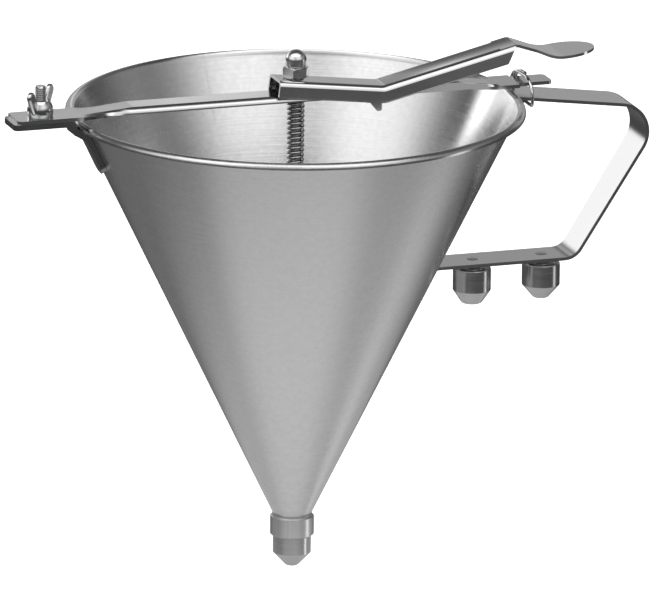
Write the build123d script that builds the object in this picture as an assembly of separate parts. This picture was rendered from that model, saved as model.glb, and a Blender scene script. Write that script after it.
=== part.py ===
from build123d import *
import math
import os

# A hand-held piston funnel. Millimetres, +Z up, the handle on +X.
# The origin is on the cone's axis, at the mouth of the fitted nozzle.

# Funnel cone
rim_d = 190.0             # outside of the curled rim
bead_d = 4.2              # curl of the rim
curl_end = 12.0           # edge of the curl below its middle, degrees
cone_h = 172.5            # top of the collar to the middle of the rim
cone_foot_d = 16.1        # outside of the cone where it meets the collar
wall = 0.8                # sheet of the cone

# Outlet collar and nozzles
collar_d = 17.9
collar_h = 9.5
collar_chamfer = 0.6
collar_neck_d = 16.6      # under the cone
collar_neck_h = 0.7
skirt_h = 2.0             # recess round the top of a fitted nozzle
skirt_gap = 0.2
throat_d = 8.4            # passage below the valve seat
spigot_d = 12.0           # thread that a nozzle screws on to
spigot_h = 6.5
thread_gap = 0.05         # radial room in the threads
nozzle_d = 15.9
nozzle_barrel_h = 9.4
nozzle_tip_h = 5.8
nozzle_cup_depth = 7.0
nozzle_edge = 0.4         # broken edge at the mouth of the cup
nozzle_tip_round = 2.0
nozzle_shoulder_round = 0.5
outlet_land = 1.6         # straight length of an outlet
outlet_lip = 1.0          # ring of metal round an outlet
lip_share = 0.9           # most of the lip that its round may take
fitted_outlet_d = 3.0
inner_outlet_d = 6.2
outer_outlet_d = 4.0

# Handle strap and the spare nozzles under it
strap_top_w = 21.0        # width of the top arm
strap_low_w = 17.6        # width of the lower arm
strap_taper_end = 14.0    # full width, below the rim's middle
strap_t = 1.4
arm_slope = 7.6           # fall of the top arm, degrees
arm_drop = 0.5            # middle of the top arm above the rim's middle, at the rim
grip_slope = 57.8         # lean of the grip, degrees from level
lower_arm_drop = 70.2     # middle of the lower arm below the rim's middle
upper_bend_r = 12.5
lower_bend_r = 8.0
foot_bend_r = 3.0
strap_foot = 9.0          # length turned down on the cone
spare_in = 19.4           # inner spare nozzle from the foot of the strap
spare_pitch = 30.3
spare_end = 11.9          # outer spare nozzle to the lower corner of the handle
spare_gap = 2.2           # arm to the mouth of a spare nozzle
stud_end_gap = 0.3        # end of a spare stud to the floor of the cup

# Crossbar and its bracket
bar_t = 1.5
bar_flat_w = 16.2
bar_web_w = 12.0          # outside of the channel
bar_rise = 1.9            # top of the channel above the flat ends
bar_flange = 3.0          # outside depth of the channel
bar_fold = 1.0            # cut corner at the folds
bar_overhang = 27.0       # clamped end beyond the rim
left_fold_in = 1.0        # inside the rim, where the left end starts to fold up
left_fold = 22.0
right_fold_in = 11.0      # inside the rim, where the right end starts to fold up
right_fold = 14.0
tongue_w = 11.5
tongue_l = 15.0           # beyond the rim
bar_corner = 2.0
bracket_t = 2.4
bracket_foot_w = 7.6      # strip below the tab
bracket_shoulder = 0.6    # step from the tab to that strip
bracket_lip = 1.5         # bracket beyond the end of the bar
bracket_drop = 20.0       # foot of the bracket below the rim's middle
bracket_turn = 1.2        # where the bracket turns in under the rim, below the rim's middle
bracket_kick = 5.0        # where the bracket meets the cone, below the rim's middle
bracket_gap = 0.6         # room between the bracket and the curl of the rim
bracket_bend_r = 2.0
bracket_corner = 3.0
clamp_out = 15.2          # clamp stud beyond the rim
clamp_stud_d = 4.8
clamp_stud_h = 12.6       # stud above the bar
stud_hole_gap = 0.3

# Wing nut
wing_base_d = 10.4
wing_belly_d = 10.9       # widest part of the hub
wing_belly_h = 2.2
wing_top_d = 7.6
wing_hub_h = 6.5
wing_t = 2.0
wing_w = 4.6
wing_round = 0.8          # edges of the wings
wing_foot = (4.6, 3.2)    # middle of a wing's root: out, up
wing_tip = (8.2, 9.2)     # middle of a wing's round end: out, up
wing_turn = 45.0          # direction of the wings, degrees from +X

# Retaining ring
ring_wire = 1.4
ring_pitch = 1.6
ring_out = 2.6            # first turn beyond the rim
ring_room = 1.2           # wire below the handle's arm
ring_side = 0.4           # wire beside the arm
ring_slack = 1.75         # wire above the bar's tongue
ring_low_r = 1.5
ring_top_r = 8.0
ring_tail = 4.0           # first end of the wire, past the middle

# Lever
lever_w = 14.8
lever_t = 1.2
lever_depth = 7.2
lever_fold_r = 2.2
lever_edge_r = 0.6        # outer lower edges of the flanges
lever_gap = 0.15          # bend to the top of the bar
rock_r = 6.0              # underside of the bend
fulcrum_x = 36.0
lever_left = 9.0          # open end, past the rod
fall_angle = 6.9          # rod side falls to the bend
rise_angle = 13.4         # thumb side rises from it
flange_in = 4.8           # lower corner of the flanges, inside the rim
web_in = 1.0              # upper corner of the flanges, inside the rim
lug_root = 5.5
lug_tip = 2.0
lug_h = 3.0
lug_back = 1.0            # lug to the bend
lug_round = 0.8
rod_hole_gap = 0.8
neck_w = 10.4
neck_root_w = 13.4        # neck where it leaves the channel
neck_taper = 12.0
paddle_w = 21.6
paddle_l = 27.0           # spoon of the paddle
paddle_out = 34.5         # tip beyond the rim
paddle_z = 16.5           # middle of the paddle above the rim's middle
neck_out = 15.0           # lowest part of the neck, beyond the rim
paddle_rise = 1.6         # tip above the low part
neck_blend = 9.0          # round between the neck and the spoon, in plan
neck_bend_r = 16.0        # bend at the low part of the neck
shoulder_bend_r = 3.6     # bend where the neck leaves the channel

# Rod, plug, nut and spring
rod_d = 5.0
rod_gap = 0.06            # running room in the bar
plug_gap = 0.05           # plug to its seat
plug_nose = 0.6           # nose above the lower edge of the seat
plug_d = 12.6
plug_h = 12.0
plug_top_chamfer = 2.0
plug_socket = 8.0
nut_af = 10.0
nut_hex_h = 5.2
nut_bevel = 0.8           # turned-off corners of the hexagon
nut_dome_d = 8.6
nut_h = 11.4
nut_gap = 0.15            # nut to the high side of the lever's web
nut_depth = 7.5
spring_wire = 1.1
spring_od = 7.7
spring_len = 33.0
spring_turns = 14
spring_bend_r = 1.2
seat_d = 9.0
seat_t = 1.0
seat_gap = 0.05
pin_d = 1.6
pin_l = 8.0
pin_chamfer = 0.27

# Heights and radii that follow from the sizes above
nozzle_h = nozzle_tip_h + nozzle_barrel_h
collar_foot_z = nozzle_h - skirt_h
collar_top_z = collar_foot_z + collar_h
rim_z = collar_top_z + cone_h
rim_r = rim_d / 2
bead_r = bead_d / 2
bar_left = rim_r + bar_overhang
clamp_x = rim_r + clamp_out
tongue_end = rim_r + tongue_l
ring_x = rim_r + ring_out
left_fold_start = rim_r - left_fold_in
right_fold_start = rim_r - right_fold_in
flange_end = rim_r - flange_in
web_end = rim_r - web_in
paddle_tip = rim_r + paddle_out
paddle_low_x = rim_r + neck_out


def wall_run(slope):
    # level thickness of the cone's sheet
    return wall * math.sqrt(1 + slope * slope)


def solve_cone_slope():
    # The inside of the cone runs tangent into the curl of the rim.
    slope = (rim_r - bead_d - cone_foot_d / 2) / cone_h
    for step in range(20):
        inner = rim_r - bead_r * (1 + math.sqrt(1 + slope * slope))
        slope = (inner + wall_run(slope) - cone_foot_d / 2) / cone_h
    return slope


cone_slope = solve_cone_slope()
cone_angle = math.atan(cone_slope)
cone_run = wall_run(cone_slope)
bead_mid_r = rim_r - bead_r
foot_in_r = cone_foot_d / 2 - cone_run

bracket_top_z = rim_z + bead_r + bracket_t
bar_flat_top_z = bracket_top_z + bar_t
bar_top_z = bar_flat_top_z + bar_rise
pivot_z = bar_top_z + lever_gap + rock_r


def cone_out(z):
    return cone_foot_d / 2 + (z - collar_top_z) * cone_slope


def upright(shape):
    # sketch x, y become the part's X, Z
    return Plane.XZ * shape


def across(face, width, y=0.0):
    # slab of an upright outline, centred on y
    slab = extrude(upright(face), amount=width / 2, both=True)
    return Pos(0, y, 0) * slab


def turned(points):
    face = make_face(Polyline(*points, close=True))
    return revolve(upright(face), Axis.Z)


def through_hole(x, z, radius, depth):
    # cutting cylinder that runs well past both faces of a wall
    return Pos(x, 0, z) * Cylinder(radius, 4 * depth)


def shifted(points, distance):
    # the same open outline, moved to its left by a distance
    normals = []
    for a, b in zip(points, points[1:]):
        run = math.hypot(b[0] - a[0], b[1] - a[1])
        normals.append(((a[1] - b[1]) / run, (b[0] - a[0]) / run))
    moved = []
    for i, point in enumerate(points):
        before = normals[max(i - 1, 0)]
        after = normals[min(i, len(normals) - 1)]
        share = distance / (1 + before[0] * after[0] + before[1] * after[1])
        across_x = share * (before[0] + after[0])
        across_z = share * (before[1] + after[1])
        moved.append((point[0] + across_x, point[1] + across_z))
    return moved


def turns_left(points):
    signs = []
    for a, b, c in zip(points, points[1:], points[2:]):
        cross = (b[0] - a[0]) * (c[1] - b[1]) - (b[1] - a[1]) * (c[0] - b[0])
        signs.append(1 if cross > 0 else -1)
    return signs


def bent_line(points, radii, distance=0.0):
    # rounded outline at a distance to the left of the given one
    moved = shifted(points, distance)
    rounds = [r - s * distance for r, s in zip(radii, turns_left(points))]
    if len(moved) == 2:
        return Polyline(*moved)
    return FilletPolyline(*moved, radius=rounds)


def band_face(upper, lower):
    # face between two open lines that run the same way
    ends = [Line(upper @ 0, lower @ 0), Line(upper @ 1, lower @ 1)]
    return make_face(upper.edges() + lower.edges() + ends)


def strip_face(points, radii, thickness):
    return band_face(bent_line(points, radii, thickness / 2), bent_line(points, radii, -thickness / 2))


def curl_point(radius, angle):
    turn = math.radians(angle)
    return (bead_mid_r + radius * math.cos(turn), rim_z + radius * math.sin(turn))


def funnel_cone():
    # one sheet: up the cone, over the top and down outside
    start = 180 - math.degrees(cone_angle)
    sweep_angle = -(start + curl_end)
    inner_r = bead_r - wall
    middle = (bead_mid_r, rim_z)
    foot_out = (cone_foot_d / 2, collar_top_z)
    foot_in = (foot_in_r, collar_top_z)
    outline = [
        Line(foot_out, curl_point(inner_r, start)),
        CenterArc(middle, inner_r, start, sweep_angle),
        Line(curl_point(inner_r, -curl_end), curl_point(bead_r, -curl_end)),
        CenterArc(middle, bead_r, start, sweep_angle),
        Line(curl_point(bead_r, start), foot_in),
        Line(foot_in, foot_out),
    ]
    return revolve(upright(make_face(outline)), Axis.Z)


seat_low_z = collar_top_z - (foot_in_r - throat_d / 2) / cone_slope


def outlet_collar():
    collar_r = collar_d / 2
    neck_r = collar_neck_d / 2
    neck_z = collar_top_z - collar_neck_h
    recess_r = nozzle_d / 2 + skirt_gap
    return turned([
        (throat_d / 2, nozzle_h - spigot_h),
        (spigot_d / 2, nozzle_h - spigot_h),
        (spigot_d / 2, nozzle_h),
        (recess_r, nozzle_h),
        (recess_r, collar_foot_z),
        (collar_r - collar_chamfer, collar_foot_z),
        (collar_r, collar_foot_z + collar_chamfer),
        (collar_r, neck_z + neck_r - collar_r),
        (neck_r, neck_z),
        (neck_r, collar_top_z),
        (foot_in_r, collar_top_z),
        (throat_d / 2, seat_low_z),
    ])


def nozzle(outlet_d):
    # cup with a conical tip, its mouth up and its outlet at the origin
    outlet_r = outlet_d / 2
    cup_r = spigot_d / 2 + thread_gap
    cup_floor = nozzle_h - nozzle_cup_depth
    outer = [
        (outlet_r, 0),
        (outlet_r + outlet_lip, 0),
        (nozzle_d / 2, nozzle_tip_h),
        (nozzle_d / 2, nozzle_h),
    ]
    inner = [
        (cup_r, nozzle_h),
        (cup_r, cup_floor),
        (outlet_r, outlet_land),
    ]
    face = make_face(Polyline(*outer, *inner, close=True))
    tip_corner = face.vertices().sort_by_distance((outlet_r + outlet_lip, 0))[0]
    lean = math.atan2(nozzle_tip_h, nozzle_d / 2 - outlet_r - outlet_lip)
    most = lip_share * outlet_lip / math.tan(lean / 2)
    face = fillet(tip_corner, min(nozzle_tip_round, most))
    shoulder = face.vertices().sort_by_distance((nozzle_d / 2, nozzle_tip_h))[0]
    face = fillet(shoulder, nozzle_shoulder_round)
    mouth = face.vertices().sort_by_distance((nozzle_d / 2, nozzle_h))[0]
    face = chamfer(mouth, nozzle_edge)
    return revolve(upright(face), Axis.Z)


# Handle
def strap_low_z():
    return rim_z - lower_arm_drop


def strap_foot_x():
    # where the lower arm turns down on to the cone
    return cone_out(strap_low_z()) + strap_t / 2 / math.cos(cone_angle)


inner_spare_x = strap_foot_x() + spare_in
outer_spare_x = inner_spare_x + spare_pitch


def strap_path():
    arm_tan = math.tan(math.radians(arm_slope))
    grip_tan = math.tan(math.radians(grip_slope))
    arm_z = rim_z + arm_drop
    low_z = strap_low_z()
    foot_x = strap_foot_x()
    corner_x = outer_spare_x + spare_end
    top_x = (arm_z + rim_r * arm_tan - low_z + corner_x * grip_tan) / (grip_tan + arm_tan)
    top_z = arm_z - (top_x - rim_r) * arm_tan
    foot_end = (foot_x - strap_foot * math.sin(cone_angle), low_z - strap_foot * math.cos(cone_angle))
    start = (bead_mid_r, arm_z + bead_r * arm_tan)
    return [start, (top_x, top_z), (corner_x, low_z), (foot_x, low_z), foot_end]


def strap_sides():
    # the strip is narrow at the lower arm and widens to the top arm
    half_low = strap_low_w / 2
    half_top = strap_top_w / 2
    right = [
        (half_low, strap_low_z() - 2 * strap_foot),
        (half_low, strap_low_z()),
        (half_top, rim_z - strap_taper_end),
        (half_top, rim_z + strap_foot),
    ]
    left = [(-y, z) for y, z in reversed(right)]
    face = make_face(Polyline(*right, *left, close=True))
    return extrude(Plane.YZ * face, amount=2 * rim_r)


def handle_strap():
    radii = [upper_bend_r, lower_bend_r, foot_bend_r]
    strip = across(strip_face(strap_path(), radii, strap_t), strap_top_w) & strap_sides()
    # the end of the top arm is coped to sit against the curl of the rim
    rim = Pos(0, 0, rim_z) * Torus(bead_mid_r, bead_r)
    return strip - rim - through_hole(0, rim_z, bead_mid_r, bead_d)


lower_arm_z = strap_low_z() - strap_t / 2
spare_mouth_z = lower_arm_z - spare_gap


def spare_stud(x):
    length = spare_gap + nozzle_cup_depth - stud_end_gap
    stud = Pos(x, 0, lower_arm_z - length / 2) * Cylinder(spigot_d / 2, length)
    return chamfer(stud.edges().group_by(Axis.Z)[0], nozzle_edge)


def arm_under(x):
    # underside of the top arm
    slope = math.tan(math.radians(arm_slope))
    return rim_z + arm_drop - (x - rim_r) * slope - strap_t / 2 * math.sqrt(1 + slope * slope)


# Crossbar
def bar_section(x, half_web, flange, angle, top_z):
    # folded strip: a web with a flange on each side, turned down by an angle
    out = (math.cos(math.radians(angle)), -math.sin(math.radians(angle)))
    inset = bar_t * math.tan(math.radians(angle) / 2)
    half = [
        (half_web - bar_fold, top_z),
        (half_web + bar_fold * out[0], top_z + bar_fold * out[1]),
        (half_web + flange * out[0], top_z + flange * out[1]),
        (half_web + flange * out[0] + bar_t * out[1], top_z + flange * out[1] - bar_t * out[0]),
        (half_web - inset, top_z - bar_t),
    ]
    other = [(-y, z) for y, z in reversed(half)]
    return [(x, y, z) for y, z in half + other]


def bar_flat(x):
    half_web = bar_flat_w / 2 - bar_flange
    return bar_section(x, half_web, bar_flange, 0.0, bar_flat_top_z)


def bar_channel(x):
    return bar_section(x, bar_web_w / 2, bar_flange, 90.0, bar_top_z)


def bar_run(first, last):
    faces = [make_face(Polyline(*points, close=True)) for points in (first, last)]
    return loft(faces, ruled=True)


def flat_plate(x0, x1, width, top_z, thickness):
    return Pos((x0 + x1) / 2, 0, top_z - thickness / 2) * Box(x1 - x0, width, thickness)


def crossbar():
    channel_left = left_fold - left_fold_start
    channel_right = right_fold_start - right_fold
    left_end = flat_plate(-bar_left, -left_fold_start, bar_flat_w, bar_flat_top_z, bar_t)
    left_end = fillet(left_end.edges().filter_by(Axis.Z).group_by(Axis.X)[0], bar_corner)
    right_end = flat_plate(right_fold_start, rim_r, bar_flat_w, bar_flat_top_z, bar_t)
    tongue = flat_plate(rim_r, tongue_end, tongue_w, bar_flat_top_z, bar_t)
    tongue = fillet(tongue.edges().filter_by(Axis.Z).group_by(Axis.X)[-1], bar_corner)
    bar = left_end + bar_run(bar_flat(-left_fold_start), bar_channel(channel_left))
    bar += bar_run(bar_channel(channel_left), bar_channel(channel_right))
    bar += bar_run(bar_channel(channel_right), bar_flat(right_fold_start))
    bar += right_end
    bar += tongue
    bar -= through_hole(0, bar_top_z, rod_d / 2 + rod_gap, bar_t)
    return bar - through_hole(-clamp_x, bar_flat_top_z, clamp_stud_d / 2 + stud_hole_gap, bar_t)


def bracket_path():
    tab_z = bracket_top_z - bracket_t / 2
    drop_x = rim_r + bracket_gap + bracket_t / 2
    on_cone = bracket_t / 2 / math.cos(cone_angle)
    kick_z = rim_z - bracket_kick
    foot_z = rim_z - bracket_drop
    return [
        (-bar_left - bracket_lip, tab_z),
        (-drop_x, tab_z),
        (-drop_x, rim_z - bracket_turn),
        (-cone_out(kick_z) - on_cone, kick_z),
        (-cone_out(foot_z) - on_cone, foot_z),
    ]


def bar_bracket():
    # a tab as wide as the bar, on a narrower strip that goes round the rim
    face = strip_face(bracket_path(), [bracket_bend_r] * 3, bracket_t)
    bracket = across(face, bar_flat_w)
    level = bracket.edges().filter_by(Axis.Z)
    bracket = fillet(level.group_by(Axis.X)[0], bar_corner)
    step_x = rim_r + bracket_gap + bracket_t + bracket_shoulder
    for side in (1, -1):
        middle_y = side * (bracket_foot_w + bar_flat_w) / 2
        bracket -= Pos(-step_x / 2, middle_y, rim_z) * Box(step_x, bar_flat_w, 4 * bracket_drop)
    foot_edges = bracket.edges().filter_by(lambda e: abs(e.length - bracket_t) < 1e-3)
    bracket = fillet(foot_edges.group_by(Axis.Z)[0], bracket_corner)
    return bracket - through_hole(-clamp_x, bracket_top_z, clamp_stud_d / 2, bracket_t)


def clamp_stud():
    low = bracket_top_z - bracket_t
    high = bar_flat_top_z + clamp_stud_h
    stud = Pos(-clamp_x, 0, (low + high) / 2) * Cylinder(clamp_stud_d / 2, high - low)
    return chamfer(stud.edges().group_by(Axis.Z)[-1], nozzle_edge)


def wing_hub():
    # hub with a full belly, as cast
    foot = (wing_base_d / 2, 0)
    belly = (wing_belly_d / 2, wing_belly_h)
    top = (wing_top_d / 2, wing_hub_h)
    outline = [
        Line((0, 0), foot),
        ThreePointArc(foot, belly, top),
        Line(top, (0, wing_hub_h)),
        Line((0, wing_hub_h), (0, 0)),
    ]
    return revolve(upright(make_face(outline)), Axis.Z)


def wing():
    run = (wing_tip[0] - wing_foot[0], wing_tip[1] - wing_foot[1])
    middle = ((wing_tip[0] + wing_foot[0]) / 2, (wing_tip[1] + wing_foot[1]) / 2)
    lean = math.degrees(math.atan2(run[1], run[0]))
    outline = Pos(*middle) * Rot(0, 0, lean) * SlotCenterToCenter(math.hypot(*run), wing_w)
    blade = across(outline, wing_t)
    return fillet(blade.faces().filter_by(Axis.Y).edges(), wing_round)


def wing_nut():
    blade = wing()
    nut = wing_hub() + blade + Rot(0, 0, 180) * blade
    nut -= through_hole(0, 0, clamp_stud_d / 2 + thread_gap, wing_hub_h)
    return Pos(-clamp_x, 0, bar_flat_top_z) * Rot(0, 0, wing_turn) * nut


def ring_path():
    half_y = strap_top_w / 2 + ring_side + ring_wire / 2
    second_x = ring_x + ring_pitch
    low_z = arm_under(second_x + ring_wire / 2) - ring_room - ring_wire / 2
    top_z = bar_flat_top_z + ring_slack + ring_wire / 2
    points = [
        (ring_x, -ring_tail, low_z),
        (ring_x, half_y, low_z),
        (ring_x, half_y, top_z),
        (second_x, -half_y, top_z),
        (second_x, -half_y, low_z),
        (second_x, half_y, low_z),
        (second_x, half_y, top_z),
        (second_x + ring_pitch / 2, 0, top_z),
    ]
    radii = [ring_low_r, ring_top_r, ring_top_r, ring_low_r, ring_low_r, ring_top_r]
    return FilletPolyline(*points, radius=radii)


def retaining_ring():
    path = ring_path()
    start = Plane(origin=path @ 0, z_dir=path % 0)
    return sweep(start * Circle(ring_wire / 2), path=path)


# Lever
fall = math.radians(fall_angle)
rise = math.radians(rise_angle)


def web_under():
    # underside of the lever's web: open end, bend, thumb end
    corner_run = rock_r / math.cos((fall + rise) / 2)
    turn = (rise - fall) / 2
    bend = (fulcrum_x + corner_run * math.sin(turn), pivot_z - corner_run * math.cos(turn))
    left = (-lever_left, bend[1] + (bend[0] + lever_left) * math.tan(fall))
    right = (web_end, bend[1] + (web_end - bend[0]) * math.tan(rise))
    return [left, bend, right]


def web_top_z(x):
    left, bend, right = shifted(web_under(), lever_t)
    if x < bend[0]:
        return bend[1] + (bend[0] - x) * math.tan(fall)
    return bend[1] + (x - bend[0]) * math.tan(rise)


def lever_block(width, top_shift, low_shift):
    # channel's outline between two lines along the web
    under = web_under()
    top = bent_line(under, [rock_r], top_shift)
    low = bent_line(under, [rock_r], low_shift)
    return across(band_face(top, low), width)


def fold_edges(block, width, shift, radius):
    # long outer edges that lie along one line of the web
    line = bent_line(web_under(), [rock_r], shift)
    picked = []
    for edge in block.edges():
        middle = edge.position_at(0.5)
        on_side = abs(abs(middle.Y) - width / 2) < 1e-4
        on_line = line.distance_to(Vector(middle.X, middle.Z, 0)) < 1e-3
        if on_side and on_line:
            picked.append(edge)
    return fillet(picked, radius)


def end_cut():
    # slanted end of the flanges on the thumb side
    under = web_under()
    top = shifted(under, lever_t)[2]
    low_z = web_top_z(flange_end) - lever_depth
    lean = ((top[0] - flange_end) / (top[1] - low_z))
    reach = lever_depth
    points = [
        (top[0] + lean * reach, top[1] + reach),
        (flange_end - lean * reach, low_z - reach),
        (flange_end + 4 * reach, low_z - reach),
        (flange_end + 4 * reach, top[1] + reach),
    ]
    return across(make_face(Polyline(*points, close=True)), 2 * lever_w)


def lug(side):
    # claw under each flange, just behind the bend
    inner_w = lever_w - 2 * lever_t
    low = web_top_z(fulcrum_x) - lever_depth
    right = fulcrum_x - lug_back
    outline = Polyline(
        (right - lug_root, low + lever_t),
        (right - lug_tip, low - lug_h),
        (right, low - lug_h),
        (right, low + lever_t),
        close=True,
    )
    tab = make_face(outline)
    tab = fillet(tab.vertices().group_by(Axis.Y)[0], lug_round)
    return across(tab, lever_t, side * (inner_w + lever_t) / 2)


def paddle():
    mid = shifted(web_under(), lever_t / 2)
    back = web_end - lever_depth
    start = (back, mid[2][1] - (mid[2][0] - back) * math.tan(rise))
    path = [start, mid[2], (paddle_low_x, rim_z + paddle_z), (paddle_tip, rim_z + paddle_z + paddle_rise)]
    curl = across(strip_face(path, [shoulder_bend_r, neck_bend_r], lever_t), 2 * paddle_w)
    spoon_x = paddle_tip - paddle_l / 2
    spoon = Pos(spoon_x, 0) * Ellipse(paddle_l / 2, paddle_w / 2)
    neck = Pos((back + spoon_x) / 2, 0) * Rectangle(spoon_x - back, neck_w)
    plan = spoon + neck
    back_corners = 2
    joins = plan.vertices().sort_by(Axis.X)[back_corners:back_corners + 2]
    plan = fillet(joins, neck_blend)
    flare = make_face(Polyline(
        (back, -neck_root_w / 2),
        (web_end, -neck_root_w / 2),
        (web_end + neck_taper, -neck_w / 2),
        (web_end + neck_taper, neck_w / 2),
        (web_end, neck_root_w / 2),
        (back, neck_root_w / 2),
        close=True,
    ))
    column = Pos(0, 0, rim_z) * extrude(plan + flare, amount=2 * paddle_z)
    return curl & column


def lever():
    inner_w = lever_w - 2 * lever_t
    outside = lever_block(lever_w, lever_t, lever_t - lever_depth)
    outside = fold_edges(outside, lever_w, lever_t, lever_fold_r)
    outside = fold_edges(outside, lever_w, lever_t - lever_depth, lever_edge_r)
    hollow = lever_block(inner_w, 0.0, -2 * lever_depth)
    hollow = fold_edges(hollow, inner_w, 0.0, lever_fold_r - lever_t)
    body = outside - hollow - end_cut()
    body += lug(1)
    body += lug(-1)
    body += paddle()
    return body - through_hole(0, bar_top_z, rod_d / 2 + rod_hole_gap, lever_depth)


# Rod, plug, nut and spring
nut_foot_z = web_top_z(-nut_af / 2 / math.cos(math.radians(30))) + nut_gap
plug_foot_z = seat_low_z + plug_nose
seat_top_z = bar_top_z - bar_t - spring_len
pin_z = seat_top_z - seat_t - pin_d / 2


def seat_in(z):
    # radius of the valve seat, which carries on the inside of the cone
    return foot_in_r - (collar_top_z - z) * cone_slope


def valve_plug():
    room = plug_gap / math.cos(cone_angle)
    shoulder_z = plug_foot_z + (plug_d / 2 - seat_in(plug_foot_z) + room) / cone_slope
    top_z = plug_foot_z + plug_h
    body = turned([
        (0, plug_foot_z),
        (seat_in(plug_foot_z) - room, plug_foot_z),
        (plug_d / 2, shoulder_z),
        (plug_d / 2, top_z - plug_top_chamfer),
        (plug_d / 2 - plug_top_chamfer, top_z),
        (0, top_z),
    ])
    return body - Pos(0, 0, top_z - plug_socket / 2) * Cylinder(rod_d / 2, plug_socket)


def piston_rod():
    low = plug_foot_z + plug_h - plug_socket
    high = nut_foot_z + nut_depth
    rod = Pos(0, 0, (low + high) / 2) * Cylinder(rod_d / 2, high - low)
    return rod - Pos(0, 0, pin_z) * Rot(90, 0, 0) * Cylinder(pin_d / 2, 2 * pin_l)


def seat_pin():
    pin = Pos(0, 0, pin_z) * Rot(90, 0, 0) * Cylinder(pin_d / 2, pin_l)
    return chamfer(pin.edges(), pin_chamfer)


def spring_seat():
    washer = Cylinder(seat_d / 2, seat_t) - Cylinder(rod_d / 2 + seat_gap, 2 * seat_t)
    return Pos(0, 0, seat_top_z - seat_t / 2) * washer


def acorn_nut():
    hexagon = extrude(RegularPolygon(nut_af / 2, 6, major_radius=False, rotation=30), amount=nut_hex_h)
    corner_r = nut_af / 2 / math.cos(math.radians(30))
    crown = turned([
        (0, 0),
        (corner_r - nut_bevel, 0),
        (corner_r, nut_bevel / 2),
        (corner_r, nut_hex_h - nut_bevel / 2),
        (corner_r - nut_bevel, nut_hex_h),
        (0, nut_hex_h),
    ])
    dome_r = nut_dome_d / 2
    flank = nut_h - dome_r
    outline = [Line((0, 0), (dome_r, 0)), Line((dome_r, 0), (dome_r, flank)), Line((0, nut_h), (0, 0))]
    arc = CenterArc((0, flank), dome_r, 0, 90)
    dome = revolve(upright(make_face(outline + [arc])), Axis.Z)
    nut = (hexagon & crown) + dome
    nut -= Pos(0, 0, nut_depth / 2) * Cylinder(rod_d / 2, nut_depth)
    return Pos(0, 0, nut_foot_z) * nut


def helix_point(turn, pitch, foot_z):
    radius = (spring_od - spring_wire) / 2
    angle = 2 * math.pi * turn
    return Vector(radius * math.cos(angle), radius * math.sin(angle), foot_z + pitch * turn)


def helix_tangent(turn, pitch):
    radius = (spring_od - spring_wire) / 2
    angle = 2 * math.pi * turn
    run = 2 * math.pi * radius
    return Vector(-run * math.sin(angle), run * math.cos(angle), pitch).normalized()


def biarc(start, start_way, end, end_way):
    # two arcs that meet smoothly, with the given directions at both ends
    chord = end - start
    ways = start_way + end_way
    a = 4 - ways.dot(ways)
    b = chord.dot(ways)
    c = chord.dot(chord)
    reach = (math.sqrt(b * b + a * c) - b) / a
    near = start + start_way * reach
    far = end - end_way * reach
    middle = (near + far) * 0.5
    way = (far - near).normalized()
    return [Edge.make_tangent_arc(start, start_way, middle), Edge.make_tangent_arc(middle, way, end)]


def end_bend(point, way, up):
    # quarter bend that turns an end of the helix upright, then one wire of straight
    lean = up.get_angle(way)
    reach = spring_bend_r * math.tan(math.radians(lean) / 2)
    corner = point + way * reach
    top = corner + up * reach
    tip = top + up * spring_wire
    return top, tip


def return_spring():
    low_z = seat_top_z
    up = Vector(0, 0, 1)
    rough = (spring_len - 2 * (spring_wire + spring_bend_r)) / spring_turns
    lean = up.get_angle(helix_tangent(0, rough))
    bend_h = spring_bend_r * math.sin(math.radians(lean))
    pitch = (spring_len - 2 * (spring_wire + bend_h)) / spring_turns
    foot_z = low_z + spring_wire + bend_h
    first = helix_point(0, pitch, foot_z)
    first_way = helix_tangent(0, pitch)
    low_bend, low_tip = end_bend(first, first_way * -1, up * -1)
    low_tip = Vector(low_tip.X, low_tip.Y, low_z)
    edges = [Edge.make_line(low_tip, low_bend), Edge.make_tangent_arc(low_bend, up, first)]
    for half in range(2 * spring_turns):
        a, b = half / 2, (half + 1) / 2
        edges += biarc(helix_point(a, pitch, foot_z), helix_tangent(a, pitch),
                       helix_point(b, pitch, foot_z), helix_tangent(b, pitch))
    last = helix_point(spring_turns, pitch, foot_z)
    last_way = helix_tangent(spring_turns, pitch)
    top_bend, top_tip = end_bend(last, last_way, up)
    top_tip = Vector(top_tip.X, top_tip.Y, low_z + spring_len)
    edges += [Edge.make_tangent_arc(last, last_way, top_bend), Edge.make_line(top_bend, top_tip)]
    print("spring: least gap to itself", round(least_gap(edges), 3), "mm, pitch", round(pitch, 3))
    path = Wire(edges)
    start = Plane(origin=low_tip, z_dir=up)
    return sweep(start * Circle(spring_wire / 2), path=path)


def least_gap(edges):
    # nearest approach of the wire to itself, measured on points half a turn or more apart
    points = []
    length = 0.0
    for edge in edges:
        for share in (0.0, 0.25, 0.5, 0.75):
            points.append((length + share * edge.length, edge.position_at(share)))
        length += edge.length
    half_turn = math.pi * (spring_od - spring_wire) / 2
    gaps = [
        (q - p).length
        for i, (s, p) in enumerate(points)
        for t, q in points[i + 1:i + 60]
        if t - s > half_turn
    ]
    return min(gaps) - spring_wire


spare_foot_z = spare_mouth_z - nozzle_h

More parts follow.
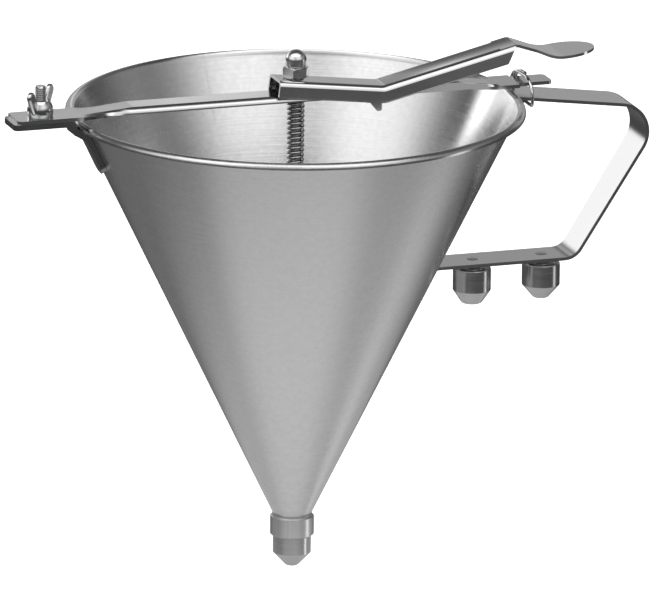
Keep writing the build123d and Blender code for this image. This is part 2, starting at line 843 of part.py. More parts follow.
nodes = {
    "funnel_cone": funnel_cone(),
    "outlet_collar": outlet_collar(),
    "nozzle_fitted": nozzle(fitted_outlet_d),
    "nozzle_spare_inner": Pos(inner_spare_x, 0, spare_foot_z) * nozzle(inner_outlet_d),
    "nozzle_spare_outer": Pos(outer_spare_x, 0, spare_foot_z) * nozzle(outer_outlet_d),
    "spare_stud_inner": spare_stud(inner_spare_x),
    "spare_stud_outer": spare_stud(outer_spare_x),
    "handle_strap": handle_strap(),
    "bar_bracket": bar_bracket(),
    "clamp_stud": clamp_stud(),
    "wing_nut": wing_nut(),
    "crossbar": crossbar(),
    "retaining_ring": retaining_ring(),
    "lever": lever(),
    "acorn_nut": acorn_nut(),
    "piston_rod": piston_rod(),
    "valve_plug": valve_plug(),
    "spring_seat": spring_seat(),
    "seat_pin": seat_pin(),
    "return_spring": return_spring(),
}

os.makedirs("parts", exist_ok=True)
for name, shape in nodes.items():
    export_step(shape, f"parts/{name}.step")

print("rim height", round(rim_z, 2), "bar top", round(bar_top_z, 2))
print("lever pivot", fulcrum_x, round(pivot_z, 2))
print("spring from", round(seat_top_z, 2), "to", round(seat_top_z + spring_len, 2))
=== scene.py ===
import math
import bmesh
import bpy
from mathutils import Matrix, Vector


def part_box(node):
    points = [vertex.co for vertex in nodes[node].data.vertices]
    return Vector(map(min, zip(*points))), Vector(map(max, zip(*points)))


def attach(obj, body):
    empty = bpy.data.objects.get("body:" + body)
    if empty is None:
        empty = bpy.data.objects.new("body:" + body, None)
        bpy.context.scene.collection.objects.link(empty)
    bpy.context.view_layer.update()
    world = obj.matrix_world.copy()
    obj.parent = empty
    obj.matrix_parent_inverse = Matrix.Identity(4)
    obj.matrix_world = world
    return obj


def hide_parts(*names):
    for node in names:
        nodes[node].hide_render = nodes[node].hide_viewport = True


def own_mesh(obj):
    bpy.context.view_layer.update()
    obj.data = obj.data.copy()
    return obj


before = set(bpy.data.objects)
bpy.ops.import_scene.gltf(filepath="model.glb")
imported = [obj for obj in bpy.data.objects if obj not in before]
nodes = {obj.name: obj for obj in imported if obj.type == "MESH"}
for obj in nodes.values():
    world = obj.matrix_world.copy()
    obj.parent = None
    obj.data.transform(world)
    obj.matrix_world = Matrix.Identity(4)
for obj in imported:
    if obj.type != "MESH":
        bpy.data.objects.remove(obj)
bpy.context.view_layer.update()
print("frame loaded,", len(nodes), "nodes")


# Shader sums: a Wire is one output socket, a Sheet is the node tree of one material or of the world
class Wire:
    def __init__(self, sheet, socket):
        self.sheet = sheet
        self.socket = socket

    def __add__(self, other):
        return self.sheet.maths("ADD", self, other)

    def __radd__(self, other):
        return self.sheet.maths("ADD", other, self)

    def __sub__(self, other):
        return self.sheet.maths("SUBTRACT", self, other)

    def __rsub__(self, other):
        return self.sheet.maths("SUBTRACT", other, self)

    def __mul__(self, other):
        return self.sheet.maths("MULTIPLY", self, other)

    def __abs__(self):
        return self.sheet.maths("ABSOLUTE", self)


class Sheet:
    def __init__(self, tree):
        self.tree = tree
        tree.nodes.clear()

    def node(self, kind, settings=None, inputs=None, out=0):
        made = self.tree.nodes.new(kind)
        for key, value in (settings or {}).items():
            setattr(made, key, value)
        for key, value in (inputs or {}).items():
            if isinstance(value, Wire):
                self.tree.links.new(value.socket, made.inputs[key])
            else:
                made.inputs[key].default_value = value
        return Wire(self, made.outputs[out]) if made.outputs else None

    def maths(self, operation, first, second=0.0, third=0.0):
        return self.node("ShaderNodeMath", {"operation": operation}, {0: first, 1: second, 2: third})

    def vectors(self, operation, inputs, out="Vector"):
        return self.node("ShaderNodeVectorMath", {"operation": operation}, inputs, out)

    def dot(self, vector, way):
        return self.vectors("DOT_PRODUCT", {0: vector, 1: way}, "Value")

    def smooth(self, value, low, high):
        limits = {"Value": value, "From Min": low, "From Max": high}
        return self.node("ShaderNodeMapRange", {"interpolation_type": "SMOOTHSTEP"}, limits)

    def noise(self, vector, scale, detail):
        inputs = {"Vector": vector, "Scale": scale, "Detail": detail}
        return self.node("ShaderNodeTexNoise", {}, inputs, out="Fac")

    # Noise about zero
    def ripple(self, vector, scale, detail):
        return self.noise(vector, scale, detail) - 0.5


# Camera: nearly parallel view from the front left, looking a little down
view = {
    "azimuth": -18.5,
    "elevation": 15.5,
    "roll": 0.55,
    "distance": 6.0,
    "farClip": 100.0,
    "sensor": 36.0,
    "metresPerPixel": 0.0004136,
    "picture": (658, 600),
    "axisPoint": (0.0, 0.0, 0.110),
    "axisPixel": (293.9, 309.4),
}
turn = math.radians(view["azimuth"])
lift = math.radians(view["elevation"])
upWay = Vector((0.0, 0.0, 1.0))
backWay = Vector((math.sin(turn) * math.cos(lift), -math.cos(turn) * math.cos(lift), math.sin(lift)))
levelRight = Vector((math.cos(turn), math.sin(turn), 0.0))
frontWay = Vector((backWay.x, backWay.y, 0.0)).normalized()


def addCamera():
    tilt = math.radians(view["roll"])
    right = levelRight * math.cos(tilt) + backWay.cross(levelRight) * math.sin(tilt)
    up = backWay.cross(right)
    pixel = view["metresPerPixel"]
    middle = [side / 2 for side in view["picture"]]
    aim = Vector(view["axisPoint"])
    aim += right * (middle[0] - view["axisPixel"][0]) * pixel
    aim += up * (view["axisPixel"][1] - middle[1]) * pixel
    lens = bpy.data.cameras.new("viewCamera")
    lens.sensor_fit = "HORIZONTAL"
    lens.sensor_width = view["sensor"]
    lens.lens = view["sensor"] * view["distance"] / (view["picture"][0] * pixel)
    lens.clip_end = view["farClip"]
    camera = bpy.data.objects.new("viewCamera", lens)
    axes = Matrix((right, up, backWay)).transposed().to_4x4()
    camera.matrix_world = Matrix.Translation(aim + backWay * view["distance"]) @ axes
    bpy.context.scene.collection.objects.link(camera)
    bpy.context.scene.camera = camera


# Studio: soft panels far away. Bearings are from the camera, plus to the right; angles in degrees.
baseLevel = 0.08
panels = {
    "frontWide": {"bearing": -12, "half": 50, "soft": 40, "rise": 36, "depth": 16, "fade": 20, "level": 0.46},
    "frontLeft": {"bearing": -58, "half": 12, "soft": 46, "rise": 32, "depth": 14, "fade": 16, "level": 0.88},
    "frontRight": {"bearing": 36, "half": 8, "soft": 48, "rise": 34, "depth": 12, "fade": 16, "level": 0.72},
    "overhead": {"bearing": 0, "half": 76, "soft": 20, "rise": 70, "depth": 18, "fade": 10, "level": 1.40},
    "rightGlow": {"bearing": 90, "half": 10, "soft": 30, "rise": 22, "depth": 8, "fade": 14, "level": 0.22},
    "leftStrip": {"bearing": -124, "half": 4, "soft": 5, "rise": 11, "depth": 6, "fade": 5, "level": 2.60},
    "backLeft": {"bearing": -144, "half": 8, "soft": 8, "rise": 9, "depth": 8, "fade": 8, "level": 1.36},
    "backWall": {"bearing": 180, "half": 30, "soft": 10, "rise": 8, "depth": 8, "fade": 7, "level": 0.37},
    "backHigh": {"bearing": 180, "half": 60, "soft": 30, "rise": 28, "depth": 12, "fade": 12, "level": 0.06},
    "rightStrip": {"bearing": 90, "half": 3, "soft": 6, "rise": -14, "depth": 14, "fade": 6, "level": 1.30},
    "lowRight": {"bearing": 118, "half": 5, "soft": 13, "rise": -43, "depth": 8, "fade": 12, "level": 0.20},
}


def buildWorld():
    world = bpy.data.worlds.new("studioWorld")
    bpy.context.scene.world = world
    world.use_nodes = True
    sheet = Sheet(world.node_tree)
    way = sheet.node("ShaderNodeTexCoord", out="Generated")
    bearing = sheet.maths("ARCTAN2", sheet.dot(way, levelRight), sheet.dot(way, frontWay))
    rise = sheet.maths("ARCSINE", sheet.dot(way, upWay))
    level = baseLevel
    for panel in panels.values():
        angles = {key: math.radians(value) for key, value in panel.items() if key != "level"}
        aside = abs(sheet.maths("WRAP", bearing - angles["bearing"], math.pi, -math.pi))
        above = abs(rise - angles["rise"])
        across = sheet.smooth(aside, angles["half"] + angles["soft"], angles["half"])
        tall = sheet.smooth(above, angles["depth"] + angles["fade"], angles["depth"])
        level = level + across * tall * panel["level"]
    seen = sheet.node("ShaderNodeLightPath", out="Is Camera Ray")
    strength = level * (1 - seen) + seen
    glow = sheet.node("ShaderNodeBackground", inputs={"Color": (1.0, 1.0, 1.0, 1.0), "Strength": strength})
    sheet.node("ShaderNodeOutputWorld", inputs={"Surface": glow})


# Floor: white to the camera
floor = {"drop": 0.06, "radius": 30.0, "tone": 0.85, "white": 0.8}

# Soft patches of light that only the steel sees, on the floor and on a card behind the object.
# Centres are from the origin and patches from their centre, as the camera sees them: right, nearer, up.
glows = {
    "floorGlow": {
        "centre": (0.0, 0.0, -floor["drop"]), "radius": 0.8, "upright": False,
        "patches": {
            "wide": {"at": (0.0, 0.0, 0.0), "radius": 0.33, "soft": 0.30, "level": 0.12},
            "middle": {"at": (0.04, -0.02, 0.0), "radius": 0.18, "soft": 0.15, "level": 0.30},
            "near": {"at": (-0.02, 0.22, 0.0), "radius": 0.13, "soft": 0.11, "level": 0.21},
            "foot": {"at": (0.0, -0.03, 0.0), "radius": 0.13, "soft": 0.08, "level": 0.08},
        },
    },
    "backGlow": {
        "centre": (0.0, -0.6, 0.37), "radius": 0.18, "upright": True,
        "patches": {
            "overBar": {"at": (-0.04, 0.0, 0.0), "radius": 0.04, "soft": 0.02, "level": 0.60},
            "overFold": {"at": (-0.115, 0.0, 0.048), "radius": 0.02, "soft": 0.02, "level": 0.60},
        },
    },
}


def addDisc(name, radius, place, sides=96):
    shape = bmesh.new()
    bmesh.ops.create_circle(shape, cap_ends=True, segments=sides, radius=radius, matrix=place)
    mesh = bpy.data.meshes.new(name)
    shape.to_mesh(mesh)
    shape.free()
    disc = bpy.data.objects.new(name, mesh)
    bpy.context.scene.collection.objects.link(disc)
    material = bpy.data.materials.new(name)
    material.use_nodes = True
    mesh.materials.append(material)
    return disc, Sheet(material.node_tree)


def addFloor():
    paper, sheet = addDisc("whitePaper", floor["radius"], Matrix.Translation((0.0, 0.0, -floor["drop"])))
    matt = sheet.node("ShaderNodeBsdfDiffuse", inputs={"Color": (floor["tone"],) * 3 + (1.0,)})
    seen = sheet.node("ShaderNodeLightPath", out="Is Camera Ray")
    white = sheet.node("ShaderNodeEmission", inputs={"Strength": seen * floor["white"]})
    both = sheet.node("ShaderNodeAddShader", inputs={0: matt, 1: white})
    sheet.node("ShaderNodeOutputMaterial", inputs={"Surface": both})
    paper.visible_glossy = False


def fromCamera(side, front, rise):
    return levelRight * side + frontWay * front + upWay * rise


def addGlows():
    upright = Matrix((levelRight, upWay, frontWay)).transposed().to_4x4()
    for name, glow in glows.items():
        centre = fromCamera(*glow["centre"])
        turned = upright if glow["upright"] else Matrix.Identity(4)
        disc, sheet = addDisc(name, glow["radius"], Matrix.Translation(centre) @ turned)
        place = sheet.node("ShaderNodeTexCoord", out="Object")
        level = 0.0
        for patch in glow["patches"].values():
            away = sheet.vectors("DISTANCE", {0: place, 1: centre + fromCamera(*patch["at"])}, "Value")
            spot = sheet.smooth(away, patch["radius"] + patch["soft"], patch["radius"])
            level = level + spot * patch["level"]
        clear = sheet.node("ShaderNodeBsdfTransparent")
        light = sheet.node("ShaderNodeEmission", inputs={"Strength": level})
        both = sheet.node("ShaderNodeAddShader", inputs={0: clear, 1: light})
        sheet.node("ShaderNodeOutputMaterial", inputs={"Surface": both})
        disc.visible_camera = False
        disc.visible_diffuse = False
        disc.visible_shadow = False


addCamera()
buildWorld()
addFloor()
addGlows()
print("camera and studio set")


# Folded sides that spring open a little, and a web that is slightly hollow towards the thumb
def splayed(sheet, place, splay):
    facing = sheet.node("ShaderNodeNewGeometry", out="Normal")
    along = sheet.dot(place, (1.0, 0.0, 0.0))
    hollow = sheet.smooth(along, *splay["hollowFrom"]) * sheet.smooth(along, *splay["hollowTo"])
    inward = sheet.dot(place, (0.0, -1.0, 0.0)) * hollow * splay["hollowRate"]
    tip = sheet.node("ShaderNodeCombineXYZ", inputs={"Y": inward, "Z": splay["sides"]})
    return sheet.vectors("NORMALIZE", {0: sheet.vectors("ADD", {0: facing, 1: tip})})


# Rim that is dressed flatter towards the inside, along its back
def dressedLip(sheet, place, lip):
    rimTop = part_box("funnel_cone")[1].z
    facing = sheet.node("ShaderNodeNewGeometry", out="Normal")
    top = sheet.smooth(rimTop - sheet.dot(place, upWay), *lip["depth"])
    back = sheet.smooth(sheet.dot(place, frontWay), *lip["back"])
    far = back * sheet.smooth(sheet.dot(place, levelRight), *lip["side"])
    outward = sheet.vectors("NORMALIZE", {0: sheet.vectors("MULTIPLY", {0: place, 1: (1.0, 1.0, 0.0)})})
    inward = sheet.vectors("SCALE", {0: outward, "Scale": top * far * -lip["amount"]})
    return sheet.vectors("NORMALIZE", {0: sheet.vectors("ADD", {0: facing, 1: inward})})


# Soft folds along the bar: the surface turns from level towards upright down the depth of the fold
def rolledFold(sheet, place, fold):
    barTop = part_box(fold["node"])[1].z
    facing = sheet.node("ShaderNodeNewGeometry", out="Normal")
    along = sheet.dot(place, (1.0, 0.0, 0.0))
    across = sheet.dot(place, (0.0, 1.0, 0.0))
    depth = sheet.maths("MAXIMUM", barTop - sheet.dot(place, upWay), 0.0)
    turned = sheet.maths("POWER", depth * (1 / fold["depth"]), fold["power"])
    lean = math.radians(fold["leanStart"]) + turned * math.radians(fold["leanRate"])
    lean = lean + (math.radians(fold["flatLean"]) - lean) * sheet.smooth(along, *fold["flat"])
    aside = sheet.maths("SIGN", across) * sheet.maths("SINE", lean)
    rolled = sheet.node("ShaderNodeCombineXYZ", inputs={"Y": aside, "Z": sheet.maths("COSINE", lean)})
    channel = sheet.smooth(along, *fold["left"]) * sheet.smooth(along, *fold["right"])
    outside = sheet.smooth(sheet.dot(facing, rolled), *fold["facing"])
    share = channel * outside * sheet.smooth(abs(across), *fold["edge"])
    mixed = sheet.node("ShaderNodeMix", {"data_type": "VECTOR"}, {0: share, 4: facing, 5: rolled}, out=1)
    return sheet.vectors("NORMALIZE", {0: mixed})


# Ground weld that closes the rolled cone, up one side of it
def weldLine(sheet, place, seam):
    way = math.radians(seam["bearing"])
    aside = abs(sheet.dot(place, (math.sin(way), -math.cos(way), 0.0)))
    onSide = sheet.maths("GREATER_THAN", sheet.dot(place, (math.cos(way), math.sin(way), 0.0)), 0.0)
    patchy = sheet.smooth(sheet.noise(place, seam["patches"], seam["patchDetail"]), *seam["patchLimits"])
    return sheet.smooth(aside, seam["half"] + seam["soft"], seam["half"]) * onSide * patchy


# Steels: one maker, with a dictionary for each finish and one for what most of them share
leanings = {"splay": splayed, "lip": dressedLip, "fold": rolledFold}


def steel(name, look):
    material = bpy.data.materials.new(name)
    material.use_nodes = True
    sheet = Sheet(material.node_tree)
    place = sheet.node("ShaderNodeTexCoord", out="Object")
    stretched = sheet.node("ShaderNodeMapping", inputs={"Vector": place, "Scale": look["grain"]})
    fine = sheet.ripple(stretched, 1.0, look["grainDetail"])
    cloud = sheet.ripple(place, look["cloud"], look["cloudDetail"])
    shade = 1.0 + fine * look["grainTone"] + cloud * look["cloudTone"]
    rough = look["rough"] + fine * look["grainRough"] + cloud * look["cloudRough"]
    if "seam" in look:
        line = weldLine(sheet, place, look["seam"])
        shade = shade - line * look["seam"]["dark"]
        rough = rough + line * look["seam"]["rough"]
    relief = {"Strength": look["bump"], "Distance": look["depth"], "Height": fine}
    for key, leaning in leanings.items():
        if key in look:
            relief["Normal"] = leaning(sheet, place, look[key])
    surface = sheet.node("ShaderNodeBsdfPrincipled", inputs={
        "Base Color": sheet.vectors("SCALE", {0: look["tint"], "Scale": shade}),
        "Metallic": 1.0,
        "Roughness": rough,
        "Anisotropic": look["aniso"],
        "Anisotropic Rotation": look["anisoTurn"],
        "Normal": sheet.node("ShaderNodeBump", inputs=relief),
    })
    sheet.node("ShaderNodeOutputMaterial", inputs={"Surface": surface})
    return material


shared = {
    "nodes": [], "grainDetail": 3.0, "cloudDetail": 2.0, "depth": 0.0001, "aniso": 0.0, "anisoTurn": 0.0,
}
finishes = {
    "coneSteel": {
        "tint": (0.63, 0.63, 0.632), "rough": 0.24, "aniso": 0.8, "anisoTurn": 0.25,
        "grain": (30.0, 30.0, 1400.0), "grainTone": 0.17, "grainRough": 0.16, "bump": 0.14, "depth": 0.0002,
        "cloud": 420.0, "cloudTone": 0.20, "cloudRough": 0.06,
        "lip": {"depth": (0.0022, 0.0016), "back": (-0.02, -0.06), "side": (-0.07, 0.0), "amount": 0.8},
        "seam": {
            "bearing": 96.8, "half": 0.0002, "soft": 0.0007, "dark": 0.07, "rough": 0.04,
            "patches": 45.0, "patchDetail": 2.0, "patchLimits": (0.45, 0.65),
        },
    },
    "strapSteel": {
        "nodes": ["handle_strap", "spring_seat"],
        "tint": (0.60, 0.60, 0.602), "rough": 0.22,
        "grain": (60.0, 900.0, 200.0), "grainTone": 0.06, "grainRough": 0.08, "bump": 0.06,
        "cloud": 40.0, "cloudTone": 0.05, "cloudRough": 0.05,
    },
    # Bracket: the strap steel with its tint darkened, as painted shade for the bracket under the bar's end
    # beside the rim
    "bracketPaintedShadeSteel": {
        "nodes": ["bar_bracket"],
        "tint": (0.36, 0.36, 0.362), "rough": 0.26,
        "grain": (60.0, 900.0, 200.0), "grainTone": 0.10, "grainRough": 0.08, "bump": 0.06,
        "cloud": 90.0, "cloudTone": 0.14, "cloudRough": 0.08,
    },
    "barSteel": {
        "nodes": ["crossbar"],
        "tint": (0.60, 0.60, 0.602), "rough": 0.20,
        "grain": (60.0, 900.0, 200.0), "grainTone": 0.06, "grainRough": 0.06, "bump": 0.04,
        "cloud": 40.0, "cloudTone": 0.05, "cloudRough": 0.05,
        "fold": {
            "node": "crossbar", "left": (-0.080, -0.072), "right": (0.087, 0.081), "edge": (0.0046, 0.0051),
            "facing": (0.0, 0.3), "leanStart": 8.0, "leanRate": 36.0, "depth": 0.001, "power": 0.75,
            "flat": (0.020, 0.050), "flatLean": 77.0,
        },
    },
    "polishedSteel": {
        "nodes": ["lever"],
        "tint": (0.64, 0.64, 0.642), "rough": 0.12,
        "grain": (50.0, 700.0, 300.0), "grainTone": 0.05, "grainRough": 0.05, "bump": 0.03,
        "cloud": 60.0, "cloudTone": 0.04, "cloudRough": 0.04,
        "splay": {"sides": 0.16, "hollowFrom": (0.040, 0.070), "hollowTo": (0.105, 0.090), "hollowRate": 9.5},
    },
    "nutSteel": {
        "tint": (0.64, 0.64, 0.642), "rough": 0.21,
        "grain": (300.0, 300.0, 300.0), "grainTone": 0.05, "grainRough": 0.06, "bump": 0.03,
        "cloud": 120.0, "cloudTone": 0.06, "cloudRough": 0.05,
    },
    "collarEdge": {
        "nodes": ["outlet_collar"],
        "tint": (0.48, 0.48, 0.482), "rough": 0.52,
        "grain": (90.0, 90.0, 2500.0), "grainTone": 0.08, "grainRough": 0.08, "bump": 0.06,
        "cloud": 70.0, "cloudTone": 0.05, "cloudRough": 0.05,
    },
    "collarSteel": {
        "tint": (0.76, 0.76, 0.762), "rough": 0.32,
        "grain": (900.0, 900.0, 20.0), "grainTone": 0.26, "grainRough": 0.10, "bump": 0.10,
        "cloud": 70.0, "cloudTone": 0.04, "cloudRough": 0.05,
    },
    # Rod, plug and pin: tint darkened, as painted shade for the rod seen between the spring's coils
    "turnedPaintedShadeSteel": {
        "nodes": ["piston_rod", "valve_plug", "seat_pin"],
        "tint": (0.46, 0.46, 0.462), "rough": 0.26, "aniso": 0.5, "anisoTurn": 0.25,
        "grain": (90.0, 90.0, 2500.0), "grainTone": 0.08, "grainRough": 0.08, "bump": 0.06,
        "cloud": 70.0, "cloudTone": 0.05, "cloudRough": 0.05,
    },
    "nozzleSteel": {
        "nodes": ["nozzle_fitted"],
        "tint": (0.55, 0.55, 0.552), "rough": 0.24, "aniso": 0.5, "anisoTurn": 0.25,
        "grain": (90.0, 90.0, 1500.0), "grainTone": 0.16, "grainRough": 0.08, "bump": 0.06,
        "cloud": 70.0, "cloudTone": 0.05, "cloudRough": 0.05,
    },
    "spareSteel": {
        "nodes": ["nozzle_spare_inner", "nozzle_spare_outer"],
        "tint": (0.56, 0.56, 0.562), "rough": 0.24, "aniso": 0.3, "anisoTurn": 0.25,
        "grain": (90.0, 90.0, 1500.0), "grainTone": 0.22, "grainRough": 0.10, "bump": 0.08,
        "cloud": 70.0, "cloudTone": 0.05, "cloudRough": 0.05,
    },
    "brightWire": {
        "nodes": ["retaining_ring", "wing_nut"],
        "tint": (0.60, 0.60, 0.602), "rough": 0.12,
        "grain": (300.0, 300.0, 300.0), "grainTone": 0.05, "grainRough": 0.06, "bump": 0.03,
        "cloud": 120.0, "cloudTone": 0.06, "cloudRough": 0.05,
    },
    "springWire": {
        "tint": (0.42, 0.42, 0.424), "rough": 0.20,
        "grain": (500.0, 500.0, 500.0), "grainTone": 0.06, "grainRough": 0.06, "bump": 0.03,
        "cloud": 200.0, "cloudTone": 0.06, "cloudRough": 0.05,
    },
    "threadSteel": {
        "tint": (0.56, 0.56, 0.562), "rough": 0.22,
        "grain": (600.0, 600.0, 600.0), "grainTone": 0.06, "grainRough": 0.06, "bump": 0.03,
        "cloud": 200.0, "cloudTone": 0.06, "cloudRough": 0.05,
    },
    "weldSteel": {
        "tint": (0.53, 0.53, 0.532), "rough": 0.34,
        "grain": (900.0, 900.0, 900.0), "grainTone": 0.16, "grainRough": 0.10, "bump": 0.20,
        "cloud": 300.0, "cloudTone": 0.10, "cloudRough": 0.05,
    },
}
steels = {}
for finishName, ownLook in finishes.items():
    look = {**shared, **ownLook}
    steels[finishName] = steel(finishName, look)
    for nodeName in look["nodes"]:
        nodes[nodeName].data.materials.clear()
        nodes[nodeName].data.materials.append(steels[finishName])
print("steels given to the nodes")


# New pieces. Edges that turn by more than sharp degrees stay sharp.
mergeWithin = 1e-6
aboutAxis = {"cent": (0.0, 0.0, 0.0), "axis": (0.0, 0.0, 1.0), "use_duplicate": False}


def addPiece(name, shape, finish, body, sharp=None):
    bmesh.ops.recalc_face_normals(shape, faces=shape.faces)
    mesh = bpy.data.meshes.new(name)
    shape.to_mesh(mesh)
    shape.free()
    mesh.materials.append(steels[finish])
    piece = bpy.data.objects.new(name, mesh)
    bpy.context.scene.collection.objects.link(piece)
    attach(piece, body)
    mesh.shade_smooth()
    if sharp is not None:
        mesh.set_sharp_from_angle(angle=math.radians(sharp))
    return piece


def turnedShape(shape, line, steps, closed=False):
    edges = [shape.edges.new(pair) for pair in zip(line, line[1:])]
    if closed:
        edges.append(shape.edges.new((line[-1], line[0])))
    bmesh.ops.spin(shape, geom=line + edges, angle=2 * math.pi, steps=steps, use_merge=True, **aboutAxis)
    bmesh.ops.remove_doubles(shape, verts=shape.verts, dist=mergeWithin)


# Extrudes a loop of edges and gives the new corners and the new loop
def grownLoop(shape, loop):
    grown = bmesh.ops.extrude_edge_only(shape, edges=loop)["geom"]
    corners = [item for item in grown if isinstance(item, bmesh.types.BMVert)]
    edges = [item for item in grown if isinstance(item, bmesh.types.BMEdge)]
    return corners, [edge for edge in edges if all(vert in corners for vert in edge.verts)]


# Cone: one sheet, rolled over outwards at the rim with its edge left open underneath
cone = {
    "sheet": 0.0008,
    "curl": 0.0021,
    "curlEnd": 12.0,
    "footRadius": 0.00805,
    "curlSteps": 26,
    "roundSteps": 320,
    "sharp": 40.0,
}


def addCone():
    low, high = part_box("funnel_cone")
    middle = Vector((high.x - cone["curl"], 0.0, high.z - cone["curl"]))
    inside = cone["curl"] - cone["sheet"]
    run = middle.x - cone["footRadius"]
    climb = middle.z - low.z
    lean = math.acos(inside / math.hypot(run, climb)) - math.atan2(climb, run)
    first = math.pi - lean
    sweep = -(first + math.radians(cone["curlEnd"]))
    turns = [first + sweep * step / cone["curlSteps"] for step in range(cone["curlSteps"] + 1)]
    spokes = [Vector((math.cos(angle), 0.0, math.sin(angle))) for angle in turns]
    under = [middle + inside * spoke for spoke in spokes]
    over = [middle + cone["curl"] * spoke for spoke in reversed(spokes)]
    footOut = Vector((cone["footRadius"], 0.0, low.z))
    footIn = footOut - Vector((cone["sheet"] / math.cos(lean), 0.0, 0.0))
    shape = bmesh.new()
    line = [shape.verts.new(point) for point in [footOut] + under + over + [footIn]]
    turnedShape(shape, line, cone["roundSteps"], closed=True)
    piece = addPiece("coneSheet", shape, "coneSteel", "funnel", cone["sharp"])
    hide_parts("funnel_cone")


# Acorn nut: a low hexagon with turned-off corners under a tall dome
acorn = {
    "sides": 6,
    "flats": 0.0100,
    "hexHeight": 0.0042,
    "cornerFall": 0.75,
    "faceRing": 0.96,
    "dome": 0.0088,
    "neck": 0.0080,
    "neckHeight": 0.0004,
    "perFlat": 12,
    "domeSteps": 16,
    "roundSteps": 72,
    "sharp": 28.0,
}


def addAcornNut():
    low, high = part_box("acorn_nut")
    flat = acorn["flats"] / 2
    wedge = 2 * math.pi / acorn["sides"]
    shape = bmesh.new()
    bmesh.ops.create_circle(shape, segments=acorn["sides"] * acorn["perFlat"], radius=flat)
    loop = list(shape.edges)
    for vert in shape.verts:
        onFlat = math.atan2(vert.co.y, vert.co.x) % wedge - wedge / 2
        vert.co = vert.co / math.cos(onFlat)
        vert.co.z = (math.hypot(vert.co.x, vert.co.y) - flat) * acorn["cornerFall"]
    raised, topLoop = grownLoop(shape, loop)
    for vert in raised:
        vert.co.z = acorn["hexHeight"] - vert.co.z
    for edges, level in ((loop, 0.0), (topLoop, acorn["hexHeight"])):
        for vert in grownLoop(shape, edges)[0]:
            shrink = flat * acorn["faceRing"] / math.hypot(vert.co.x, vert.co.y)
            vert.co = Vector((vert.co.x * shrink, vert.co.y * shrink, level))
    bmesh.ops.holes_fill(shape, edges=shape.edges)
    domeRadius = acorn["dome"] / 2
    domeMiddle = high.z - low.z - domeRadius
    foot = acorn["hexHeight"] + acorn["neckHeight"]
    points = [(acorn["neck"] / 2, acorn["hexHeight"]), (acorn["neck"] / 2, foot)]
    points.append((domeRadius, foot + acorn["neckHeight"]))
    for step in range(acorn["domeSteps"] + 1):
        angle = step / acorn["domeSteps"] * math.pi / 2
        points.append((domeRadius * math.cos(angle), domeMiddle + domeRadius * math.sin(angle)))
    dome = [shape.verts.new((across, 0.0, up)) for across, up in points]
    turnedShape(shape, dome, acorn["roundSteps"])
    bmesh.ops.translate(shape, vec=(0.0, 0.0, low.z), verts=shape.verts)
    piece = addPiece("acornCap", shape, "nutSteel", "piston", acorn["sharp"])
    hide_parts("acorn_nut")


# Return spring: round wire, closed at both ends and open between.
spring = {
    "wire": 0.0011,
    "outside": 0.0077,
    "endTurns": 1.2,
    "endPitch": 0.00122,
    "turns": 14,
    "stepsPerTurn": 36,
    "wireSides": 12,
    "kept": 28.5 / 33.0,
    "sharp": 60.0,
}


def addSpring():
    low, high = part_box("return_spring")
    half = spring["wire"] / 2
    endRise = spring["endTurns"] * spring["endPitch"]
    openRise = high.z - low.z - spring["wire"] - 2 * endRise
    shape = bmesh.new()
    place = Matrix.Translation((spring["outside"] / 2 - half, 0.0, low.z + half))
    sideways = Matrix.Rotation(math.pi / 2, 4, "X")
    bmesh.ops.create_circle(shape, segments=spring["wireSides"], radius=half, matrix=place @ sideways)
    ring = list(shape.verts) + list(shape.edges)
    runs = [(spring["endTurns"], endRise), (spring["turns"], openRise), (spring["endTurns"], endRise)]
    for turns, rise in runs:
        steps = round(turns * spring["stepsPerTurn"])
        climb = (0.0, 0.0, rise / steps)
        made = bmesh.ops.spin(
            shape, geom=ring, dvec=climb, angle=turns * 2 * math.pi, steps=steps, **aboutAxis)
        ring = made["geom_last"]
    bmesh.ops.holes_fill(shape, edges=shape.edges)
    piece = addPiece("springCoil", shape, "springWire", "funnel", spring["sharp"])
    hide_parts("return_spring")
    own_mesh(piece)


# Threaded studs: a toothed line turned once round, rising by one pitch, then cut to length
thread = {
    "depthPerPitch": 0.6,
    "runIn": 1.5,
    "extraTurns": 2,
    "turnSteps": 48,
    "cutWithin": 1e-7,
    "sharp": 30.0,
}


def threadedBar(shape, low, high, crest, pitch, chamfer):
    root = crest - thread["depthPerPitch"] * pitch
    count = math.ceil((high - low) / pitch) + thread["extraTurns"]
    steps = thread["turnSteps"]
    line = []
    for half in range(2 * count + 1):
        radius = crest if half % 2 else root
        line.append(shape.verts.new((radius, 0.0, low + (half / 2 - thread["runIn"]) * pitch)))
    edges = [shape.edges.new(pair) for pair in zip(line, line[1:])]
    climb = (0.0, 0.0, pitch / steps)
    bmesh.ops.spin(shape, geom=line + edges, dvec=climb, angle=2 * math.pi, steps=steps, **aboutAxis)
    bmesh.ops.remove_doubles(shape, verts=shape.verts, dist=mergeWithin)
    for level, way in ((low, -1.0), (high, 1.0)):
        everything = list(shape.verts) + list(shape.edges) + list(shape.faces)
        bmesh.ops.bisect_plane(
            shape, geom=everything, dist=thread["cutWithin"], plane_co=(0.0, 0.0, level),
            plane_no=(0.0, 0.0, way), clear_outer=True)
    bmesh.ops.holes_fill(shape, edges=shape.edges)
    for vert in shape.verts:
        radius = math.hypot(vert.co.x, vert.co.y)
        nearEnd = min(vert.co.z - low, high - vert.co.z)
        limit = crest - max(0.0, chamfer - nearEnd)
        if radius > limit:
            vert.co.x *= limit / radius
            vert.co.y *= limit / radius


studs = {
    "clampThread": {"node": "clamp_stud", "slot": "thread_steel", "pitch": 0.0008, "chamfer": 0.0006},
    "spareThreadInner": {
        "node": "spare_stud_inner", "slot": "turned_steel", "pitch": 0.00125, "chamfer": 0.0005},
    "spareThreadOuter": {
        "node": "spare_stud_outer", "slot": "turned_steel", "pitch": 0.00125, "chamfer": 0.0005},
}


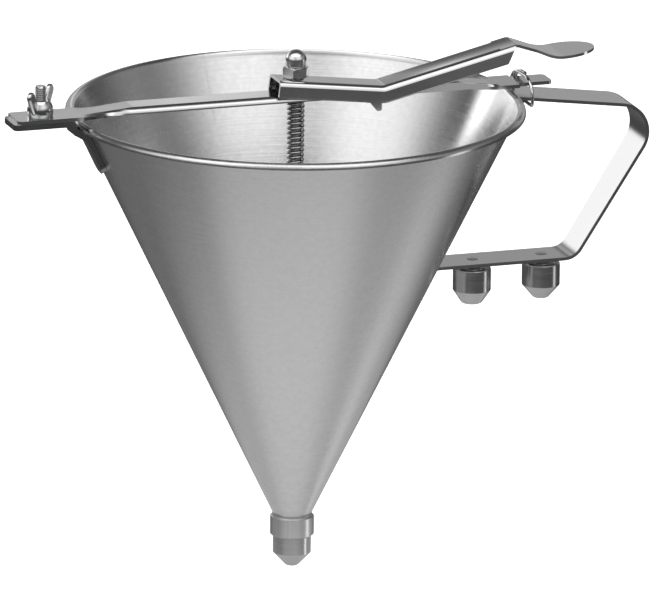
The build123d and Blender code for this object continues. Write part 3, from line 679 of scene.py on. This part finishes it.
def addStuds():
    for name, stud in studs.items():
        low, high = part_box(stud["node"])
        shape = bmesh.new()
        threadedBar(shape, low.z, high.z, (high.x - low.x) / 2, stud["pitch"], stud["chamfer"])
        bmesh.ops.translate(shape, vec=((low.x + high.x) / 2, 0.0, 0.0), verts=shape.verts)
        piece = addPiece(name, shape, "threadSteel", "funnel", thread["sharp"])
        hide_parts(stud["node"])


# Fine straight ribs round the collar, for the grip
ribs = {
    "count": 64,
    "crest": 0.00018,
    "valley": 0.00001,
    "seat": 0.00015,
    "collarFoot": 0.0132,
    "low": 0.0006,
    "high": 0.0013,
    "sharp": 50.0,
}


def addRibs():
    low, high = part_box("outlet_collar")
    skin = (high.x - low.x) / 2
    foot = ribs["collarFoot"] + ribs["low"]
    head = high.z - ribs["high"]
    shape = bmesh.new()
    bmesh.ops.create_circle(shape, segments=2 * ribs["count"], radius=skin)
    for vert in shape.verts:
        turnOn = math.atan2(vert.co.y, vert.co.x) * ribs["count"] / math.pi
        vert.co = vert.co.normalized() * (skin + ribs["crest" if round(turnOn) % 2 else "valley"])
        vert.co.z = foot
    loop = list(shape.edges)
    raised, topLoop = grownLoop(shape, loop)
    bmesh.ops.translate(shape, vec=(0.0, 0.0, head - foot), verts=raised)
    for edges in (loop, topLoop):
        for vert in grownLoop(shape, edges)[0]:
            shrink = (skin - ribs["seat"]) / math.hypot(vert.co.x, vert.co.y)
            vert.co.x *= shrink
            vert.co.y *= shrink
    addPiece("collarRibs", shape, "collarSteel", "funnel", ribs["sharp"])


# Low marks where the spare studs are welded through the handle's lower arm
welds = {
    "nodes": {"weldMarkInner": "spare_stud_inner", "weldMarkOuter": "spare_stud_outer"},
    "radius": 0.0026,
    "rise": 0.00018,
    "strap": 0.0014,
    "arcSteps": 6,
    "roundSteps": 32,
}


def addWeldMarks():
    for name, node in welds["nodes"].items():
        low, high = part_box(node)
        shape = bmesh.new()
        line = []
        for step in range(welds["arcSteps"] + 1):
            angle = step / welds["arcSteps"] * math.pi / 2
            across = welds["radius"] * math.sin(angle)
            line.append(shape.verts.new((across, 0.0, welds["rise"] * math.cos(angle))))
        turnedShape(shape, line, welds["roundSteps"])
        place = ((low.x + high.x) / 2, 0.0, high.z + welds["strap"])
        bmesh.ops.translate(shape, vec=place, verts=shape.verts)
        addPiece(name, shape, "weldSteel", "funnel")


addCone()
addAcornNut()
addSpring()
addStuds()
addRibs()
addWeldMarks()
print("new pieces added")

bpy.context.scene.view_settings.view_transform = "Standard"
